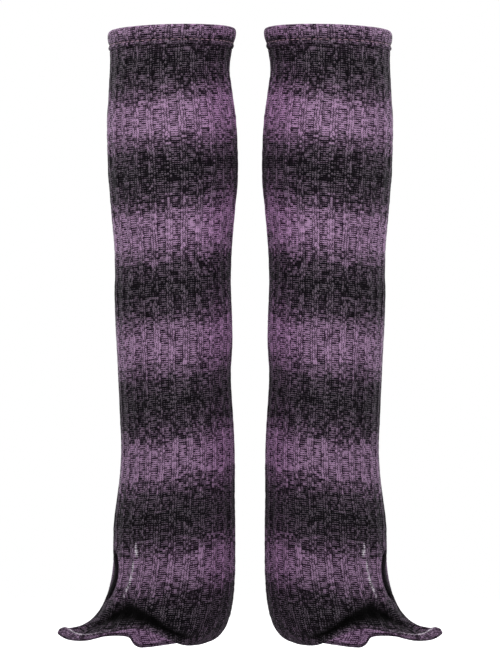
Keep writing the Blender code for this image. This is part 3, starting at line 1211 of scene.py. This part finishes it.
class MarlYarn(EffectGroup):
    """Colour of a two-ply marl: a black ply and a dyed one, twisted so that both show in flecks."""

    name = "Marl yarn"
    inputs = (*PLACE_SOCKETS, *GRID_SOCKETS, ("Tone", FLOAT, 0.5), ("Valley", FLOAT, 0.0),
              ("Height", FLOAT, 0.5), ("Dark from", COLOUR, BLACK), ("Dark to", COLOUR, BLACK),
              ("Light from", COLOUR, BLACK), ("Light to", COLOUR, (1, 1, 1, 1)),
              ("Valley painted shade", FLOAT, 0.12), ("Painted foot shade", FLOAT, 1.0), ("Painted light and shade", FLOAT, 0.0),
              ("Painted highlight", COLOUR, (0.34, 0.31, 0.35, 1)))
    outputs = (("Colour", COLOUR),)
    block = 9.0
    patch_wales = 4.0
    patch_rows = 5.0
    relief_least = 1.1
    relief_more = 1.1
    relief_knit = -0.1
    fleck_base = 0.45
    fleck_knit = 0.1
    dash_weight = 0.35
    stitch_weight = 0.9
    block_weight = 0.14
    noise_weight = 0.25
    noise_scale = 0.8
    light_power = 1.2
    dark_power = 6.0
    tone_power = 1.5
    valley_ends = (180.0, 400.0)
    valley_painted_shades = (0.85, 1.5)
    heel_ends = (-0.3, -0.95)
    heel_painted_tint = (1.0, 0.86, 1.0, 1)
    painted_shade_ends = (220.0, 640.0)
    highlight_least = 0.45
    highlight_more = 0.8
    painted_rim_light = 0.4
    rim_light_courses = (540.0, 600.0)
    rim_light_ends = (0.92, 0.985)
    highlight_ends = (0.2, 0.8)
    highlight_flecks = (0.0, 0.45, 0.35, 1.0)
    deepest_painted_shade = 0.03

    def fleck(self, sheet: NodeSheet, given: dict) -> Wire:
        """How much of the dyed ply shows at each place.

        Args:
            sheet: the group's tree.
            given: the group's input values, by name.

        Returns:
            The share, from 0 to 1.
        """
        patch = sheet.random((given["Wale"] / self.patch_wales).floor(),
                             (given["Row"] / self.patch_rows).floor(), seed=8.0)
        relief = ((patch * self.relief_more + self.relief_least)
                  * (given["Knit"] * self.relief_knit + 1.0))
        fleck = given["Knit"] * self.fleck_knit + self.fleck_base
        for value, weight in (
            (given["Height"], relief),
            (sheet.chance(given["Cell"], seed=9.0), self.dash_weight),
            (given["Stitch"], self.stitch_weight),
            (block_chance(sheet, given, self.block, 4.0, 7.0), self.block_weight),
            (sheet.noise(given["Around"], self.noise_scale), self.noise_weight),
        ):
            fleck = (value - 0.5) * weight + fleck
        # Painted shade at the foot of each rib, stronger down the leg
        valley_shade_growth = sheet.remap(given["Course"], *self.valley_ends, *self.valley_painted_shades)
        valley_shade = given["Valley"] * given["Valley painted shade"] * valley_shade_growth
        return sheet.math("SUBTRACT", fleck, valley_shade, clamp=True)

    def wire(self, sheet: NodeSheet, given: dict) -> dict:
        """Lays out the two dyed shades with their flecks, then the painted light and shade."""
        fleck = self.fleck(sheet, given)
        light = sheet.mix(fleck ** self.light_power, given["Light from"], given["Light to"])
        dark = sheet.mix(fleck ** self.dark_power, given["Dark from"], given["Dark to"])
        marl = sheet.mix(given["Tone"] ** self.tone_power, dark, light)
        front, _, _ = sheet.separate(given["Around"])
        heel, edge = (sheet.remap(front, *(end * GAUGE.radius_mm for end in ends))
                      for ends in (self.heel_ends, self.rim_light_ends))
        # Painted light: the heel side is tinted more magenta, standing in for the different light
        # on it
        marl = sheet.mix(heel, marl, sheet.tint(marl, self.heel_painted_tint))
        # Painted shade: darker down the leg towards the foot, standing in for light falling off
        marl = sheet.tint(marl, sheet.remap(given["Course"], *self.painted_shade_ends, 1.0,
                                            given["Painted foot shade"], "LINEAR"))
        # Painted highlight: a pale grey laid on the crests, the hem's crest and the front edge
        highlight = sheet.tint(given["Painted highlight"], fleck * self.highlight_more + self.highlight_least)
        # Painted rim light: the light bands pale along the front edge above the foot, as if lit
        # from the side
        pale = sheet.remap(given["Course"], *self.rim_light_courses, self.painted_rim_light, 0.0)
        painted_light_mark = sheet.math("MAXIMUM", edge * (given["Tone"] * pale),
                          sheet.remap(given["Painted light and shade"], *self.highlight_ends))
        marl = sheet.mix(painted_light_mark * sheet.remap(fleck, *self.highlight_flecks), marl, highlight)
        # Painted shade: darkens the tucks, the hollow over the foot hem and the casing's groove
        deep = sheet.remap(given["Painted light and shade"], 0.0, -1.0, 1.0, self.deepest_painted_shade, "LINEAR")
        return {"Colour": sheet.tint(marl, deep)}


@dataclass(frozen=True)
class Finish:
    """The finish of a surface."""

    name: str

    def material(self) -> bpy.types.Material:
        """The finish as a material, made at the first call."""
        found = bpy.data.materials.get(self.name)
        if found:
            return found
        material = bpy.data.materials.new(self.name)
        material.use_nodes = True
        sheet = NodeSheet(material.node_tree)
        sheet.fill(material.node_tree.nodes["Principled BSDF"], self.wire(sheet))
        return material

    def wire(self, sheet: NodeSheet) -> dict:
        """Lays out the material's nodes.

        Args:
            sheet: the material's tree.

        Returns:
            What the shader's inputs are fed with, by name.
        """
        raise NotImplementedError


@dataclass(frozen=True)
class KnitFinish(Finish):
    """One knit surface: its colours with their painted light and shade, its stitch relief and its
    nap.
    """

    dark_from: tuple = (0.0030, 0.0021, 0.0034)
    dark_to: tuple = (0.106, 0.086, 0.109)
    light_from: tuple = (0.013, 0.0058, 0.014)
    light_to: tuple = (0.340, 0.214, 0.347)
    darkest: float = 34.0
    valley_painted_shade: float = 0.26
    # Share of the colour left at the foot by the painted shade that stands in for falling light
    painted_foot_shade: float = 0.6
    stitch_height: float = 0.4 * MM
    nap_height: float = 0.35 * MM
    nap_noise: tuple = (1.6, 2.0, 0.7)
    sheen: float = 0.03
    sheen_roughness: float = 0.4
    sheen_tint: tuple = (0.9, 0.85, 0.92, 1)
    specular: float = 0.04
    roughness: float = 0.9

    def wire(self, sheet: NodeSheet) -> dict:
        """Lays out the stitches, the dye and the yarn, and their relief."""
        known = {"UV": sheet.output("ShaderNodeUVMap", "UV", uv_map="Knit"),
                 "Dark from": (*self.dark_from, 1), "Dark to": (*self.dark_to, 1),
                 "Light from": (*self.light_from, 1), "Light to": (*self.light_to, 1),
                 "Darkest": self.darkest, "Valley painted shade": self.valley_painted_shade,
                 "Painted foot shade": self.painted_foot_shade}
        # The painted light and shade and the dye's lead come from the mesh's point attributes
        for mark in ("Painted light and shade", "Lead"):
            known[mark] = sheet.output("ShaderNodeAttribute", "Fac", attribute_name=mark)
        for group in (KnitCoordinates(), StitchRelief(), SpaceDye(), MarlYarn()):
            known |= group.place(sheet, known)
        nap = sheet.bump(self.nap_height, sheet.noise(known["Around"], *self.nap_noise))
        return {"Base Color": known["Colour"],
                "Normal": sheet.bump(self.stitch_height, known["Height"], Normal=nap),
                "Roughness": self.roughness, "Specular IOR Level": self.specular,
                "Sheen Weight": self.sheen, "Sheen Roughness": self.sheen_roughness,
                "Sheen Tint": self.sheen_tint}


@dataclass(frozen=True)
class ThreadFinish(Finish):
    """Sewing thread: two dyed plies twisted together."""

    shadow: tuple = (0.17, 0.09, 0.14)
    light: tuple = (0.40, 0.25, 0.31)
    twist: float = 2.2
    slope: float = 2.0
    ply_share: float = 0.3
    fibre_noise: tuple = (0.9, 2.0)
    roughness: float = 0.6
    specular: float = 0.2
    relief: float = 0.15 * MM

    def wire(self, sheet: NodeSheet) -> dict:
        """Lays out the plies, their colour and their relief."""
        place = sheet.output("ShaderNodeTexCoord", "Object")
        spot = sheet.output("ShaderNodeVectorMath", 0, {0: place, "Scale": 1 / MM},
                            operation="SCALE")
        x, y, z = sheet.separate(spot)
        ply = ((x + y + z * self.slope) * self.twist).sine()
        lit = sheet.math("MULTIPLY_ADD", ply, self.ply_share,
                         sheet.noise(spot, *self.fibre_noise), clamp=True)
        return {"Base Color": sheet.mix(lit, (*self.shadow, 1), (*self.light, 1)),
                "Normal": sheet.bump(self.relief, lit), "Roughness": self.roughness,
                "Specular IOR Level": self.specular}


@dataclass(frozen=True)
class FloorFinish(Finish):
    """The pale floor's finish, which fades out from its middle."""

    fade_from: float = 0.35
    fade_to: float = 1.3
    shades: tuple = ((0.95, 0.95, 0.95, 1), (0.98, 0.98, 0.98, 1))
    mottle_noise: tuple = (1.2, 3.0)
    roughness: float = 0.9

    def wire(self, sheet: NodeSheet) -> dict:
        """Lays out the faint mottle and the fade."""
        spot = sheet.output("ShaderNodeTexCoord", "Object")
        x, y, _ = sheet.separate(spot)
        reach = sheet.math("SQRT", x * x + y * y)
        return {"Alpha": sheet.remap(reach, self.fade_from, self.fade_to, 1.0, 0.0),
                "Base Color": sheet.mix(sheet.noise(spot, *self.mottle_noise), *self.shades),
                "Roughness": self.roughness}


@dataclass
class Studio:
    """The pale floor, the soft lights and the camera at the photograph's angle.

    Each soft box has its place, what it points at, the length of its side, its power in watts
    and its colour.
    """

    lens_distance: float = 3.1
    camera_height: float = -355.8 * MM
    frame_height: float = 672 * 1.19 * MM
    sensor: float = 36.0
    floor_drop: float = 790 * MM
    floor_finish: FloorFinish = FloorFinish("pale floor")
    floor_corners: int = 96
    room_light: float = 0.46
    soft_boxes: tuple = (
        ("key", (-0.8, -2.5, 1.8), (0, 0, -0.35), 1.8, 52, (1.0, 0.99, 0.98)),
        ("fill", (0.8, -2.5, 1.8), (0, 0, -0.35), 1.8, 52, (1.0, 0.98, 0.99)),
        ("top", (0, -0.2, 2.0), (0, 0, -0.35), 2.4, 30, (1, 1, 1)),
        ("left rim", (-1.5, 1.2, 0.2), (-0.1, 0, -0.35), 1.0, 42, (0.97, 0.97, 1.0)),
        ("right rim", (1.5, 1.2, 0.2), (0.1, 0, -0.35), 1.0, 42, (0.97, 0.97, 1.0)),
    )

    def camera(self) -> None:
        """Adds the camera, level, at the height of the frame's middle."""
        data = bpy.data.cameras.new("camera")
        data.sensor_fit = "AUTO"
        data.sensor_width = self.sensor
        data.lens = self.sensor * self.lens_distance / self.frame_height
        item = bpy.data.objects.new("camera", data)
        item.location = (0, -self.lens_distance, self.camera_height)
        item.rotation_euler = (math.radians(90), 0, 0)
        bpy.context.scene.collection.objects.link(item)
        bpy.context.scene.camera = item

    def lights(self) -> None:
        """Adds the soft boxes and the even light of the white room."""
        for name, place, aim, size, power, colour in self.soft_boxes:
            data = bpy.data.lights.new(name, "AREA")
            data.size, data.energy, data.color = size, power, colour
            item = bpy.data.objects.new(name, data)
            item.location = place
            x, y, z = np.array(aim) - np.array(place)
            item.rotation_euler = (math.atan2(math.hypot(x, y), -z), 0,
                                   math.atan2(y, x) - math.pi / 2)
            bpy.context.scene.collection.objects.link(item)
        world = bpy.data.worlds.new("white room")
        bpy.context.scene.world = world
        world.use_nodes = True
        sheet = NodeSheet(world.node_tree)
        seen = sheet.output("ShaderNodeLightPath", "Is Camera Ray")
        sheet.fill(world.node_tree.nodes["Background"], {
            "Color": (1, 1, 1, 1),
            "Strength": sheet.remap(seen, 0.0, 1.0, self.room_light, 1.0, "LINEAR")})

    def floor(self) -> None:
        """Adds the pale round floor, which fades out into the white of the room."""
        bpy.ops.object.select_all(action="DESELECT")
        bpy.ops.mesh.primitive_circle_add(
            vertices=self.floor_corners, radius=self.floor_finish.fade_to, fill_type="NGON",
            location=(0, 0, -self.floor_drop))
        item = bpy.context.object
        item.name = "floor"
        item.data.transform(item.matrix_world)
        item.matrix_world.identity()
        item.data.materials.append(self.floor_finish.material())

    def build(self) -> None:
        """Sets up camera, lights, floor and the plain view transform."""
        self.camera()
        self.lights()
        self.floor()
        bpy.context.scene.view_settings.view_transform = "Standard"


@dataclass
class LegWarmers:
    """The whole pair."""

    form: ClothForm = field(default_factory=ClothForm)
    ribbed: KnitFinish = KnitFinish("ribbed marl knit")
    wrong_side: KnitFinish = KnitFinish(
        "wrong side of the knit", valley_painted_shade=0.25, painted_foot_shade=1.0,
        dark_from=(0.012, 0.006, 0.012), light_from=(0.030, 0.012, 0.031),
        light_to=(0.365, 0.226, 0.372))
    turned: KnitFinish = KnitFinish(
        "turned casing knit", darkest=42.0, stitch_height=0.3 * MM,
        light_to=(0.350, 0.222, 0.357))
    thread: ThreadFinish = ThreadFinish("sewing thread")
    rolled: KnitFinish = KnitFinish("rolled hem knit", light_to=(0.250, 0.166, 0.255))

    def build(self) -> None:
        """Builds and dresses each piece of both legs."""
        for side in Side:
            tube = LegTube(side, self.form)
            cloth = tube.build(self.ribbed, self.wrong_side)
            sewn_on = [Casing(side, self.form).build(self.turned),
                       CasingStitches(side, self.form).build(self.thread),
                       FootHem(side, self.form).build(self.rolled)]
            for piece in (cloth, *sewn_on):
                LOG.info("%s: %d faces", piece.name, len(piece.data.polygons))


def main() -> None:
    """Builds the studio and the pair."""
    logging.basicConfig(level=logging.INFO, format="%(message)s")
    bpy.ops.object.select_all(action="DESELECT")
    Studio().build()
    LegWarmers().build()


if __name__ == "__main__":
    main()
